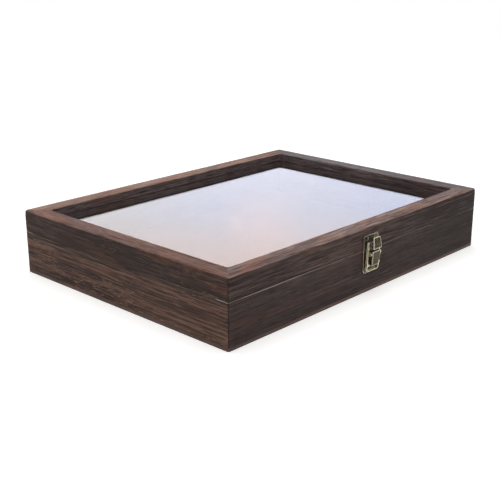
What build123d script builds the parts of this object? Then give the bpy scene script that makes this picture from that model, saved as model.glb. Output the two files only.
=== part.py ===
from build123d import *
import os

# Insect specimen box, in millimetres. X runs along the front, Y to the back and Z up,
# and the origin is the middle of the underside.

# Case
case_width = 350.0
case_depth = 260.0
base_height = 39.5  # table to the top of the base's walls
seam_gap = 0.3  # between the closed lid and the base
lid_height = 19.6
wall = 16.5
panel_thickness = 3.0
corner_radius = 2.0  # upright outer corners
top_edge_radius = 1.6
seam_edge_radius = 0.6
inner_edge_radius = 0.8

# Glazing: the pane lies under a ledge of the rails, and the beads hold it from below
glass_thickness = 2.0
glass_drop = 8.4  # top of the rails to the pane
rebate = 6.0
glass_clearance = 0.5
bead_height = 6.0
bead_clearance = 0.2

# Pinning foam
foam_thickness = 10.0
foam_clearance = 0.5

# Countersunk screws, the same in hinges and latch
screw_shank_radius = 1.2
screw_head_radius = 2.15
screw_head_crown = 0.2
screw_length = 9.0
screw_clearance = 0.05

# Butt hinges on the outside of the back
hinge_spacing = 210.0  # between the middles of the two hinges
hinge_length = 38.0
hinge_leaf_height = 15.0  # pin to the leaf's free edge
hinge_sheet = 1.0
hinge_corner = 1.5
hinge_pin_radius = 1.1
hinge_knuckle_wall = 1.05
hinge_bore_clearance = 0.05
hinge_wood_clearance = 0.3
hinge_knuckles = 5
hinge_knuckle_gap = 0.25
hinge_screw_pitch = 23.0
hinge_screw_height = 9.2  # pin to the row of screws

# Toggle latch. Outward sizes are from the face of the front wall, heights from the seam.
latch_sheet = 1.0
latch_plate_margin = 1.5  # of the plates beyond the loop, on each side
latch_plate_gap = 0.8  # between the two plates, across the seam
catch_plate_height = 12.7
catch_plate_corner = 1.2
base_plate_height = 20.7
base_plate_corner = 3.0
plate_edge_radius = 0.3
catch_screw_inset = 3.7  # from the plate's side
catch_screw_height = 10.4
base_screw_inset = 4.3
base_screw_depth = 17.6

# Hook: a tab in front of the plate on a narrow neck, between the loop's two fingers
tab_base = 1.35  # seam to the tab's lower edge
tab_height = 10.2
tab_taper = 2.2  # the tab is as wide as the lever at its lower edge
tab_base_reach = 8.2
tab_top_reach = 6.9
tab_crown = 0.25
tab_sheet = 0.8
tab_corner = 1.5
tab_rim_radius = 0.3
neck_width = 3.0
neck_sheet = 0.9
neck_clearance = 0.6

# Lever: a stamped cap with side flanges
lever_top_drop = 0.65  # seam to the lever's upper end
lever_height = 13.4
lever_top_width = 11.7
lever_taper = 1.9
lever_top_reach = 7.5
lever_base_reach = 6.0
lever_crown = 0.25
lever_sheet = 0.7
lever_corner = 0.8
lever_rim_radius = 0.45
lever_lip_depth = 1.4
lever_pivot_reach = 5.2
lever_pivot_drop = 3.35
lever_eye_radius = 2.0
ear_clearance = 0.3
ear_sheet = 0.8
ear_radius = 1.8

# Loop: a tray-like frame that turns on the lever
loop_pivot_reach = 3.1
loop_pivot_drop = 12.65
loop_base_drop = 19.65
loop_tip_height = 7.55
loop_clearance = 0.3  # to the heads of the lever's pin
loop_flare = 1.4  # the base is wider than the tips
loop_corner = 2.6
loop_sheet = 0.9
loop_eye_radius = 1.4
loop_rim_radius = 0.25
loop_back_reach = 1.7
loop_base_reach = 3.6
loop_tip_reach = 4.9
loop_tip_depth = 1.9
pan_height = 5.2
pan_sheet = 0.8
pan_reach = 1.9
finger_height = 6.65  # seam to the middle of the fingers
finger_reach = 3.6
finger_size = (1.2, 1.0)  # upward and outward
pivot_pin_radius = 0.75
pivot_clearance = 0.05
pin_head_radius = 1.15
pin_head_thickness = 0.22
pin_head_clearance = 0.1

# Heights that follow
seam = base_height + seam_gap / 2
lid_base = base_height + seam_gap
lid_top = lid_base + lid_height
glass_top = lid_top - glass_drop
glass_base = glass_top - glass_thickness
knuckle_radius = hinge_pin_radius + hinge_bore_clearance + hinge_knuckle_wall
hinge_axis_y = case_depth / 2 + hinge_wood_clearance + knuckle_radius

# Faces that carry the metalwork: local x and y are world X (or -X) and Z, the normal points out
front_plane = Plane(origin=(0, -case_depth / 2, 0), x_dir=(1, 0, 0), z_dir=(0, -1, 0))
back_plane = Plane(origin=(0, case_depth / 2, 0), x_dir=(-1, 0, 0), z_dir=(0, 1, 0))
latch_face = front_plane.offset(latch_sheet)
hinge_face = back_plane.offset(hinge_sheet)
# Section through the latch: local x is the distance out of the front, local y is world Z
side_plane = Plane(origin=(0, -case_depth / 2, 0), x_dir=(0, -1, 0), z_dir=(-1, 0, 0))

# Each side of the case runs from one corner to the next, anticlockwise from above
side_ends = {
    "front": ((-1, -1), (1, -1)),
    "right": ((1, -1), (1, 1)),
    "back": ((1, 1), (-1, 1)),
    "left": ((-1, 1), (-1, -1)),
}

hinge_centres = {"left": -hinge_spacing / 2, "right": hinge_spacing / 2}
hinge_rows = {
    part: [
        (centre + side * hinge_screw_pitch / 2, seam + sign * hinge_screw_height)
        for centre in hinge_centres.values()
        for side in (-1, 1)
    ]
    for part, sign in (("base", -1), ("lid", 1))
}

# The latch from its lever outwards: ears, pin heads, loop and plates, each with its clearance
lever_pivot = (lever_pivot_reach, seam - lever_pivot_drop)
loop_pivot = (loop_pivot_reach, seam - loop_pivot_drop)
loop_low = seam - loop_base_drop
loop_high = seam + loop_tip_height
lever_base_width = lever_top_width - lever_taper
tab_top_width = lever_top_width - tab_taper
ear_inside = lever_top_width / 2 + ear_clearance
loop_middle_width = 2 * (ear_inside + ear_sheet + pin_head_thickness + loop_clearance + loop_sheet)
flare_below_pivot = loop_flare * (lever_pivot[1] - loop_low) / (loop_high - loop_low)
loop_base_width = loop_middle_width + flare_below_pivot
loop_tip_width = loop_base_width - loop_flare
latch_width = loop_base_width + 2 * latch_plate_margin
finger_gap = neck_width + 2 * neck_clearance
catch_screw_x = latch_width / 2 - catch_screw_inset
base_screw_x = latch_width / 2 - base_screw_inset
catch_screws = [(side * catch_screw_x, seam + catch_screw_height) for side in (-1, 1)]
base_screws = [(side * base_screw_x, seam - base_screw_depth) for side in (-1, 1)]


def mitred(side):
    """Plan of one side between its two mitres, wide enough for the walls."""
    deep = wall + rebate
    ends = side_ends[side]
    outer = [(x * case_width / 2, y * case_depth / 2) for x, y in ends]
    inner = [(x * (case_width / 2 - deep), y * (case_depth / 2 - deep)) for x, y in reversed(ends)]
    return outer + inner


def on_outline(edge):
    """True for an edge on the outside of the case."""
    middle = edge.center()
    outside_x = abs(middle.X) > case_width / 2 - corner_radius
    outside_y = abs(middle.Y) > case_depth / 2 - corner_radius
    return outside_x or outside_y


def on_inner_outline(edge):
    """True for a straight edge along the inside of the walls."""
    middle = edge.center()
    along_x = abs(abs(middle.Y) - (case_depth / 2 - wall)) < 0.01
    along_y = abs(abs(middle.X) - (case_width / 2 - wall)) < 0.01
    return along_x or along_y


def pilot_rows(side, part):
    """Where screws enter this side, with the plane that they enter through."""
    if side == "back":
        return back_plane, [(-x, z) for x, z in hinge_rows[part]]
    if side == "front":
        return front_plane, base_screws if part == "base" else catch_screws
    return None, []


def base_wall(side):
    """One mitred wall of the base, standing on the bottom panel."""
    with BuildPart() as piece:
        with BuildSketch(Plane.XY.offset(panel_thickness)):
            RectangleRounded(case_width, case_depth, corner_radius)
            Rectangle(case_width - 2 * wall, case_depth - 2 * wall, mode=Mode.SUBTRACT)
            Polygon(*mitred(side), mode=Mode.INTERSECT)
        extrude(amount=base_height - panel_thickness)
        rim = piece.edges().group_by(Axis.Z)[-1].filter_by(on_outline)
        fillet(rim, seam_edge_radius)
        plane, places = pilot_rows(side, "base")
        if places:
            with BuildSketch(plane):
                with Locations(*places):
                    Circle(screw_shank_radius + screw_clearance)
            extrude(amount=-screw_length, mode=Mode.SUBTRACT)
    return piece


def lid_rail(side):
    """One mitred rail of the lid, rebated from below for the glass."""
    with BuildPart() as piece:
        with BuildSketch(Plane.XY.offset(lid_base)):
            RectangleRounded(case_width, case_depth, corner_radius)
            opening = 2 * (wall - rebate)
            Rectangle(case_width - opening, case_depth - opening, mode=Mode.SUBTRACT)
            Polygon(*mitred(side), mode=Mode.INTERSECT)
        extrude(amount=glass_top - lid_base)
        with BuildSketch(Plane.XY.offset(glass_top)):
            RectangleRounded(case_width, case_depth, corner_radius)
            Rectangle(case_width - 2 * wall, case_depth - 2 * wall, mode=Mode.SUBTRACT)
            Polygon(*mitred(side), mode=Mode.INTERSECT)
        extrude(amount=lid_top - glass_top)
        fillet(piece.edges().group_by(Axis.Z)[-1].filter_by(on_outline), top_edge_radius)
        fillet(piece.edges().group_by(Axis.Z)[-1].filter_by(on_inner_outline), inner_edge_radius)
        fillet(piece.edges().group_by(Axis.Z)[0].filter_by(on_outline), seam_edge_radius)
        plane, places = pilot_rows(side, "lid")
        if places:
            with BuildSketch(plane):
                with Locations(*places):
                    Circle(screw_shank_radius + screw_clearance)
            extrude(amount=-screw_length, mode=Mode.SUBTRACT)
    return piece


def glazing_bead(side):
    """One mitred bead in the rebate, under the glass."""
    outer = 2 * (wall - rebate + bead_clearance)
    with BuildPart() as piece:
        with BuildSketch(Plane.XY.offset(glass_base - bead_height)):
            Rectangle(case_width - outer, case_depth - outer)
            Rectangle(case_width - 2 * wall, case_depth - 2 * wall, mode=Mode.SUBTRACT)
            Polygon(*mitred(side), mode=Mode.INTERSECT)
        extrude(amount=bead_height)
        fillet(piece.edges().group_by(Axis.Z)[0].filter_by(on_inner_outline), inner_edge_radius)
    return piece


def hinge_leaf(centre, sign):
    """One leaf of a butt hinge: sign is -1 for the base's leaf and 1 for the lid's."""
    first = (1 + sign) // 2
    pitch = (hinge_length + hinge_knuckle_gap) / hinge_knuckles
    near = knuckle_radius + hinge_knuckle_gap
    with BuildPart() as piece:
        with BuildSketch(back_plane):
            with Locations((-centre, seam + sign * (near + hinge_leaf_height) / 2)):
                Rectangle(hinge_length, hinge_leaf_height - near)
        extrude(amount=hinge_sheet)
        corners = piece.edges().filter_by(Axis.Y).group_by(Axis.Z)[-1 if sign > 0 else 0]
        fillet(corners, hinge_corner)
        for index in range(first, hinge_knuckles, 2):
            start = centre - hinge_length / 2 + index * pitch
            with BuildSketch(Plane.YZ.offset(start)):
                with Locations((hinge_axis_y, seam)):
                    Circle(knuckle_radius)
                with Locations((case_depth / 2 + hinge_sheet / 2, seam + sign * (seam_gap + near) / 2)):
                    Rectangle(hinge_sheet, near)
                with Locations((hinge_axis_y, seam)):
                    Circle(hinge_pin_radius + hinge_bore_clearance, mode=Mode.SUBTRACT)
            extrude(amount=pitch - hinge_knuckle_gap)
        row = [(-centre + side * hinge_screw_pitch / 2, seam + sign * hinge_screw_height) for side in (-1, 1)]
        with Locations(*on_plane(hinge_face, row)):
            CounterSinkHole(
                screw_shank_radius + screw_clearance,
                screw_head_radius + screw_clearance,
                counter_sink_angle=90,
            )
    return piece


def hinge_pin(centre):
    """Pin of a butt hinge, with a low crown at each end."""
    with BuildPart() as piece:
        with BuildSketch(Plane.YZ.offset(centre - hinge_length / 2)):
            with Locations((hinge_axis_y, seam)):
                Circle(hinge_pin_radius)
        extrude(amount=hinge_length)
        chamfer(piece.edges().filter_by(GeomType.CIRCLE), hinge_pin_radius / 3)
    return piece


def pivot_pin(axis, half_length):
    """Riveted pin of the latch, along X through a point of its section."""
    reach, height = axis
    with BuildPart() as piece:
        with BuildSketch(Plane.YZ.offset(-half_length)):
            with Locations((-case_depth / 2 - reach, height)):
                Circle(pivot_pin_radius)
        extrude(amount=2 * half_length)
        for start, length in ((-half_length, -pin_head_thickness), (half_length, pin_head_thickness)):
            with BuildSketch(Plane.YZ.offset(start)):
                with Locations((-case_depth / 2 - reach, height)):
                    Circle(pin_head_radius)
            extrude(amount=length)
        ends = piece.edges().filter_by(GeomType.CIRCLE).group_by(Axis.X)
        chamfer(ends[0] + ends[-1], pin_head_thickness / 2)
    return piece


def half_width_at(height, low, high):
    """Half width of a tapered outline, from its (height, width) at both ends."""
    share = (height - low[0]) / (high[0] - low[0])
    return (low[1] + (high[1] - low[1]) * share) / 2


# Countersunk screw, the rim of its head round the origin and its shank downwards
with BuildPart() as screw:
    cone = screw_head_radius - screw_shank_radius
    with BuildSketch(Plane.XZ):
        with BuildLine():
            Polyline(
                (0, -screw_length),
                (screw_shank_radius, -screw_length),
                (screw_shank_radius, -cone),
                (screw_head_radius, 0),
                (screw_head_radius - 2 * screw_head_crown, screw_head_crown),
                (0, screw_head_crown),
                (0, -screw_length),
            )
        make_face()
    revolve(axis=Axis.Z)


def on_plane(plane, places):
    """Locations on a plane, from places given as (x, height)."""
    return [plane.location * Location((x, z, 0)) for x, z in places]


def screw_group(plane, places):
    """Screws whose heads lie in a plane, at places given as (x, height)."""
    with BuildPart() as piece:
        with Locations(*on_plane(plane, places)):
            add(screw.part)
    return piece


# Base
pieces = {f"base_{side}": base_wall(side) for side in side_ends}

with BuildPart() as bottom_panel:
    with BuildSketch():
        RectangleRounded(case_width, case_depth, corner_radius)
    extrude(amount=panel_thickness)
pieces["bottom_panel"] = bottom_panel

with BuildPart() as pinning_foam:
    with BuildSketch(Plane.XY.offset(panel_thickness)):
        margin = 2 * (wall + foam_clearance)
        Rectangle(case_width - margin, case_depth - margin)
    extrude(amount=foam_thickness)
pieces["pinning_foam"] = pinning_foam

# Lid
pieces |= {f"lid_{side}": lid_rail(side) for side in side_ends}
pieces |= {f"bead_{side}": glazing_bead(side) for side in side_ends}

with BuildPart() as glass_pane:
    with BuildSketch(Plane.XY.offset(glass_base)):
        margin = 2 * (wall - rebate + glass_clearance)
        Rectangle(case_width - margin, case_depth - margin)
    extrude(amount=glass_thickness)
pieces["glass_pane"] = glass_pane

# Hinges
for name, centre in hinge_centres.items():
    pieces[f"hinge_{name}_base_leaf"] = hinge_leaf(centre, -1)
    pieces[f"hinge_{name}_lid_leaf"] = hinge_leaf(centre, 1)
    pieces[f"hinge_{name}_pin"] = hinge_pin(centre)
for part, row in hinge_rows.items():
    pieces[f"hinge_{part}_screws"] = screw_group(hinge_face, row)

# Hook's tab, cut from its outline and from its curved section
tab_low = seam + tab_base
tab_high = tab_low + tab_height
with BuildPart() as hook_tab:
    with BuildSketch(front_plane) as tab_outline:
        Polygon(
            (-lever_top_width / 2, tab_low),
            (lever_top_width / 2, tab_low),
            (tab_top_width / 2, tab_high),
            (-tab_top_width / 2, tab_high),
        )
        fillet(tab_outline.vertices().group_by(Axis.Y)[-1], tab_corner)
        fillet(tab_outline.vertices().group_by(Axis.Y)[0], tab_sheet)
    extrude(amount=tab_base_reach + tab_crown)
    with BuildSketch(side_plane):
        with BuildLine():
            middle = ((tab_base_reach + tab_top_reach) / 2 + tab_crown, (tab_low + tab_high) / 2)
            outer = ThreePointArc((tab_base_reach, tab_low), middle, (tab_top_reach, tab_high))
            inner = ThreePointArc(
                (tab_top_reach - tab_sheet, tab_high),
                (middle[0] - tab_sheet, middle[1]),
                (tab_base_reach - tab_sheet, tab_low),
            )
            Line(outer @ 1, inner @ 0)
            Line(inner @ 1, outer @ 0)
        make_face()
    extrude(amount=lever_top_width, both=True, mode=Mode.INTERSECT)
    fillet(hook_tab.faces().sort_by(Axis.Y)[0].edges(), tab_rim_radius)

# Catch plate, with the neck that carries the tab
with BuildPart() as latch_catch_plate:
    with BuildSketch(front_plane) as catch_outline:
        with Locations((0, seam + latch_plate_gap / 2)):
            Rectangle(latch_width, catch_plate_height, align=(Align.CENTER, Align.MIN))
        fillet(catch_outline.vertices().group_by(Axis.Y)[-1], catch_plate_corner)
    extrude(amount=latch_sheet)
    fillet(latch_catch_plate.faces().sort_by(Axis.Y)[0].edges(), plate_edge_radius)
    with Locations(*on_plane(latch_face, catch_screws)):
        CounterSinkHole(
            screw_shank_radius + screw_clearance,
            screw_head_radius + screw_clearance,
            depth=latch_sheet,
            counter_sink_angle=90,
        )
    with BuildSketch(front_plane):
        with Locations((0, tab_low)):
            Rectangle(neck_width, neck_sheet, align=(Align.CENTER, Align.MIN))
    extrude(amount=tab_base_reach - tab_sheet / 2)
    add(hook_tab.part)
pieces["latch_catch_plate"] = latch_catch_plate
pieces["latch_catch_screws"] = screw_group(latch_face, catch_screws)

# Base plate of the latch: two ears stand up from the long sides of its window
plate_high = seam - latch_plate_gap / 2
ear_low = lever_pivot[1] - ear_radius - ear_sheet
ear_high = lever_pivot[1] + ear_radius
with BuildPart() as latch_base_plate:
    with BuildSketch(front_plane) as plate_outline:
        with Locations((0, plate_high)):
            Rectangle(latch_width, base_plate_height, align=(Align.CENTER, Align.MAX))
        fillet(plate_outline.vertices().group_by(Axis.Y)[0], base_plate_corner)
        with Locations((0, (ear_low + ear_high) / 2)):
            Rectangle(2 * ear_inside, ear_high - ear_low, mode=Mode.SUBTRACT)
    extrude(amount=latch_sheet)
    fillet(latch_base_plate.faces().sort_by(Axis.Y)[0].outer_wire().edges(), plate_edge_radius)
    for side in (-1, 1):
        with BuildSketch(side_plane.offset(side * (ear_inside + ear_sheet / 2))):
            with Locations((latch_sheet / 2, (ear_low + ear_high) / 2)):
                Rectangle(latch_sheet, ear_high - ear_low)
            with Locations(lever_pivot):
                Circle(ear_radius)
            make_hull()
            with Locations(lever_pivot):
                Circle(pivot_pin_radius + pivot_clearance, mode=Mode.SUBTRACT)
        extrude(amount=ear_sheet / 2, both=True)
    with Locations(*on_plane(latch_face, base_screws)):
        CounterSinkHole(
            screw_shank_radius + screw_clearance,
            screw_head_radius + screw_clearance,
            depth=latch_sheet,
            counter_sink_angle=90,
        )
pieces["latch_base_plate"] = latch_base_plate
pieces["latch_base_screws"] = screw_group(latch_face, base_screws)
pieces["latch_lever_pin"] = pivot_pin(lever_pivot, ear_inside + ear_sheet)

# Lever: a cap with a crowned face, hollow from behind, with eyes for both pins in its flanges
lever_high = seam - lever_top_drop
lever_low = lever_high - lever_height
lever_middle = ((lever_top_reach + lever_base_reach) / 2 + lever_crown, (lever_low + lever_high) / 2)
with BuildPart() as lever_hollow:
    inset = 2 * lever_sheet
    with BuildSketch(front_plane):
        Polygon(
            (-(lever_base_width - inset) / 2, lever_low - lever_sheet),
            ((lever_base_width - inset) / 2, lever_low - lever_sheet),
            ((lever_top_width - inset) / 2, lever_high - lever_sheet),
            (-(lever_top_width - inset) / 2, lever_high - lever_sheet),
        )
    extrude(amount=lever_top_reach)
    with BuildSketch(side_plane):
        with BuildLine():
            face_line = ThreePointArc(
                (lever_top_reach - lever_sheet, lever_high),
                (lever_middle[0] - lever_sheet, lever_middle[1]),
                (lever_base_reach - lever_sheet, lever_low + lever_sheet),
            )
            Polyline(
                face_line @ 1,
                (lever_base_reach - lever_lip_depth, lever_low + lever_sheet),
                (lever_base_reach - lever_lip_depth, lever_low - lever_sheet),
                (0, lever_low - lever_sheet),
                (0, lever_high),
                face_line @ 0,
            )
        make_face()
    extrude(amount=lever_top_width, both=True, mode=Mode.INTERSECT)
with BuildPart() as latch_lever:
    with BuildSketch(front_plane) as lever_outline:
        Polygon(
            (-lever_base_width / 2, lever_low),
            (lever_base_width / 2, lever_low),
            (lever_top_width / 2, lever_high),
            (-lever_top_width / 2, lever_high),
        )
        fillet(lever_outline.vertices(), lever_corner)
    extrude(amount=lever_top_reach + lever_crown)
    with BuildSketch(side_plane):
        with BuildLine():
            face_line = ThreePointArc(
                (lever_top_reach, lever_high),
                lever_middle,
                (lever_base_reach, lever_low),
            )
            Polyline(
                face_line @ 1,
                (loop_pivot[0], lever_low),
                loop_pivot,
                lever_pivot,
                (lever_pivot[0] - lever_eye_radius, lever_high),
                face_line @ 0,
            )
        make_face()
        with Locations(lever_pivot):
            Circle(lever_eye_radius)
        with Locations(loop_pivot):
            Circle(loop_eye_radius)
    extrude(amount=lever_top_width, both=True, mode=Mode.INTERSECT)
    lever_face = latch_lever.faces().sort_by(Axis.Y)[0]
    fillet(lever_face.edges(), lever_rim_radius)
    add(lever_hollow.part, mode=Mode.SUBTRACT)
    with BuildSketch(side_plane):
        with Locations(lever_pivot, loop_pivot):
            Circle(pivot_pin_radius + pivot_clearance)
    extrude(amount=lever_top_width, both=True, mode=Mode.SUBTRACT)
pieces["latch_lever"] = latch_lever

# Loop: rim, pan and two fingers that reach behind the hook's tab
finger_z = seam + finger_height
loop_ends = ((loop_low, loop_base_width), (loop_high, loop_tip_width))
with BuildSketch() as loop_window:
    Polygon(
        (-loop_base_width / 2 + loop_sheet, loop_low + loop_sheet),
        (loop_base_width / 2 - loop_sheet, loop_low + loop_sheet),
        (loop_tip_width / 2 - loop_sheet, loop_high + loop_sheet),
        (-loop_tip_width / 2 + loop_sheet, loop_high + loop_sheet),
    )
    fillet(loop_window.vertices().group_by(Axis.Y)[0], loop_corner - loop_sheet)
with BuildPart() as latch_loop:
    with BuildSketch(front_plane) as loop_outline:
        Polygon(
            (-loop_base_width / 2, loop_low),
            (loop_base_width / 2, loop_low),
            (loop_tip_width / 2, loop_high),
            (-loop_tip_width / 2, loop_high),
        )
        fillet(loop_outline.vertices().group_by(Axis.Y)[0], loop_corner)
        add(loop_window.sketch, mode=Mode.SUBTRACT)
    extrude(amount=loop_tip_reach + loop_sheet)
    tip_radius = loop_tip_depth / 2
    with BuildSketch(side_plane):
        Polygon(
            (loop_back_reach, loop_low),
            (loop_base_reach, loop_low),
            (loop_tip_reach, loop_high - tip_radius),
            (loop_tip_reach - loop_tip_depth, loop_high - tip_radius),
        )
        with Locations((loop_tip_reach - tip_radius, loop_high - tip_radius)):
            Circle(tip_radius)
        with Locations(loop_pivot):
            Circle(loop_eye_radius)
    extrude(amount=loop_base_width, both=True, mode=Mode.INTERSECT)
    front_faces = latch_loop.faces().filter_by(lambda face: face.normal_at().Y < -0.9)
    loop_rim = front_faces.sort_by(SortBy.AREA)[-1].edges().sort_by(Axis.Z)[:-2]
    fillet(loop_rim, loop_rim_radius)
    with BuildSketch(front_plane.offset(pan_reach)) as pan_outline:
        Polygon(
            (-loop_base_width / 2, loop_low),
            (loop_base_width / 2, loop_low),
            (half_width_at(loop_low + pan_height, *loop_ends), loop_low + pan_height),
            (-half_width_at(loop_low + pan_height, *loop_ends), loop_low + pan_height),
        )
        fillet(pan_outline.vertices().group_by(Axis.Y)[0], loop_corner)
    extrude(amount=pan_sheet)
    finger_root = half_width_at(finger_z, *loop_ends) - loop_sheet / 2
    finger_middle = (finger_gap / 2 + finger_root) / 2
    with BuildSketch(front_plane.offset(finger_reach - finger_size[1] / 2)):
        with Locations((-finger_middle, finger_z), (finger_middle, finger_z)):
            Rectangle(finger_root - finger_gap / 2, finger_size[0])
    extrude(amount=finger_size[1])
    with BuildSketch(side_plane):
        with Locations(loop_pivot):
            Circle(pivot_pin_radius + pivot_clearance)
    extrude(amount=loop_base_width, both=True, mode=Mode.SUBTRACT)
pieces["latch_loop"] = latch_loop
loop_pin_half_length = half_width_at(loop_pivot[1], *loop_ends) + pin_head_clearance
pieces["latch_loop_pin"] = pivot_pin(loop_pivot, loop_pin_half_length)

os.makedirs("parts", exist_ok=True)
for name, piece in pieces.items():
    piece.part.label = name
    export_step(piece.part, f"parts/{name}.step")
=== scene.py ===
import bpy
import bmesh
from math import copysign, cos, pi, radians, sin
from types import SimpleNamespace
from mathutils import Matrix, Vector


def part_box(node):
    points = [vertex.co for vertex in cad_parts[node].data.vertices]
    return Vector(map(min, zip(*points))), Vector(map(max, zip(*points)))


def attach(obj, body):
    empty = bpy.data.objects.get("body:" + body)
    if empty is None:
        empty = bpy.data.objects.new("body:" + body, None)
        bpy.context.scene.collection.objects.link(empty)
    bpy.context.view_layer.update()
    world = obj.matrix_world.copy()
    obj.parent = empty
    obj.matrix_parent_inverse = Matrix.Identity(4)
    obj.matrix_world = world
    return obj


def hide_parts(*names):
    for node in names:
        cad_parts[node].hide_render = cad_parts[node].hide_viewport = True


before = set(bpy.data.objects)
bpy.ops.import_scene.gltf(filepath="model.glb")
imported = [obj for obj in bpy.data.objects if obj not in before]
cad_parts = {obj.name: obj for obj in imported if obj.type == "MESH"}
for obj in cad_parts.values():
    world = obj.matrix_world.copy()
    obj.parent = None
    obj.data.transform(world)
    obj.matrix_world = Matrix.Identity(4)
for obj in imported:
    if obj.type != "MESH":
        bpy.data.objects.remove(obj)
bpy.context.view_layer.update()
scene = bpy.context.scene
mm = 0.001
print("frame loaded:", len(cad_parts), "nodes")


class Wire:  # one output socket, so that shader maths reads as plain sums
    def __init__(self, wiring, socket):
        self.wiring = wiring
        self.socket = socket

    def maths(self, operation, *values):
        return self.wiring.add("ShaderNodeMath", {"operation": operation}, dict(enumerate(values)))

    def __add__(self, other):
        return self.maths("ADD", self, other)

    __radd__ = __add__

    def __sub__(self, other):
        return self.maths("SUBTRACT", self, other)

    def __rsub__(self, other):
        return self.maths("SUBTRACT", other, self)

    def __mul__(self, other):
        return self.maths("MULTIPLY", self, other)

    __rmul__ = __mul__

    def __abs__(self):
        return self.maths("ABSOLUTE", self)

    def larger(self, other):
        return self.maths("MAXIMUM", self, other)

    def output(self, key):  # another output of the same node
        return Wire(self.wiring, findSocket(self.socket.node.outputs, key))


def findSocket(sockets, key):
    if isinstance(key, int):
        return sockets[key]
    return next((s for s in sockets if s.identifier == key), None) or sockets[key]


class Wiring:  # a shader or geometry tree, and the one way to add a node to it
    def __init__(self, tree):
        self.tree = tree

    def add(self, kind, settings=None, sockets=None, output=0):
        node = self.tree.nodes.new(kind)
        for name, value in (settings or {}).items():
            if name == "stops":
                fillRamp(node.color_ramp, value)
            else:
                setattr(node, name, value)
        for key, value in (sockets or {}).items():
            socket = findSocket(node.inputs, key)
            if isinstance(value, Wire):
                self.tree.links.new(value.socket, socket)
            else:
                socket.default_value = value
        return Wire(self, findSocket(node.outputs, output)) if len(node.outputs) else node

    def vector(self, operation, first, second, output=0):
        return self.add("ShaderNodeVectorMath", {"operation": operation}, {0: first, 1: second}, output)

    def stretch(self, vector, amount):
        return self.add("ShaderNodeVectorMath", {"operation": "SCALE"}, {"Vector": vector, "Scale": amount})

    def parts(self, vector):
        split = self.add("ShaderNodeSeparateXYZ", {}, {"Vector": vector})
        return split, split.output("Y"), split.output("Z")

    def join(self, x, y, z):
        return self.add("ShaderNodeCombineXYZ", {}, {"X": x, "Y": y, "Z": z})

    def mix(self, factor, first, second, blend="MIX"):
        sockets = {"Factor_Float": factor, "A_Color": first, "B_Color": second}
        return self.add("ShaderNodeMix", {"data_type": "RGBA", "blend_type": blend}, sockets, "Result_Color")

    def paint(self, mask, colour, shade):  # lays a shade over a colour where the mask says
        return self.mix(mask, colour, tint(shade))

    def rise(self, value, low, high, first=0.0, last=1.0):
        sockets = {"Value": value, "From Min": low, "From Max": high, "To Min": first, "To Max": last}
        return self.add("ShaderNodeMapRange", {"interpolation_type": "SMOOTHSTEP"}, sockets)

    def noise(self, vector, detail=0.0, roughness=0.5, scale=1.0):
        sockets = {"Vector": vector, "Scale": scale, "Detail": detail, "Roughness": roughness}
        return self.add("ShaderNodeTexNoise", {}, sockets)

    def ramp(self, value, stops):
        return self.add("ShaderNodeValToRGB", {"stops": stops}, {"Fac": value}, "Color")

    def bump(self, height, strength, distance):
        return self.add("ShaderNodeBump", {}, {"Strength": strength, "Distance": distance, "Height": height})


def fillRamp(ramp, stops):
    while len(ramp.elements) < len(stops):
        ramp.elements.new(1.0)
    for element, (place, colour) in zip(ramp.elements, stops):
        element.position = place
        element.color = colour


def tint(shade):  # a colour as painters read it, 0 to 255, made linear by the screen's own rule
    parts = [v / 255 for v in shade]
    return tuple(v / 12.92 if v <= 0.04045 else ((v + 0.055) / 1.055) ** 2.4 for v in parts) + (1.0,)


def newMaterial(name):
    made = bpy.data.materials.new(name)
    made.use_nodes = True
    made.node_tree.nodes.clear()
    return made, Wiring(made.node_tree)


def surface(w, shader):
    w.add("ShaderNodeOutputMaterial", {}, {"Surface": shader})


def principled(w, sockets):
    surface(w, w.add("ShaderNodeBsdfPrincipled", {}, sockets))


def objectPlace(w):
    return w.add("ShaderNodeTexCoord", output="Object")


def newTree(name, inputs):
    tree = bpy.data.node_groups.new(name, "GeometryNodeTree")
    tree.interface.new_socket("Geometry", in_out="INPUT", socket_type="NodeSocketGeometry")
    for label, kind in inputs.items():
        tree.interface.new_socket(label, in_out="INPUT", socket_type="NodeSocket" + kind)
    tree.interface.new_socket("Geometry", in_out="OUTPUT", socket_type="NodeSocketGeometry")
    w = Wiring(tree)
    return tree, w, w.add("NodeGroupInput")


def closeTree(w, geometry, material):
    real = w.add("GeometryNodeRealizeInstances", {}, {"Geometry": geometry})
    coated = w.add("GeometryNodeSetMaterial", {}, {"Geometry": real, "Material": material})
    w.add("NodeGroupOutput", {}, {"Geometry": coated})


def settle(piece, tree, values):
    # what a tree makes of a piece, as a plain mesh without the modifier
    modifier = piece.modifiers.new(tree.name, "NODES")
    modifier.node_group = tree
    names = {s.name: s.identifier for s in tree.interface.items_tree if s.in_out == "INPUT"}
    for name, value in values.items():
        modifier[names[name]] = value
    evaluated = piece.evaluated_get(bpy.context.evaluated_depsgraph_get())
    mesh = bpy.data.meshes.new_from_object(evaluated)
    piece.modifiers.clear()
    piece.data = mesh
    mesh.name = piece.name
    return piece


def newPiece(name, data):
    piece = bpy.data.objects.new(name, data)
    scene.collection.objects.link(piece)
    return piece


def dress(material, *names):
    for name in names:
        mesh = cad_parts[name].data
        mesh.materials.clear()
        mesh.materials.append(material)


def between(value, low, high):  # 0 at low and 1 at high
    return min(max((value - low) / (high - low), 0.0), 1.0)


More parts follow.
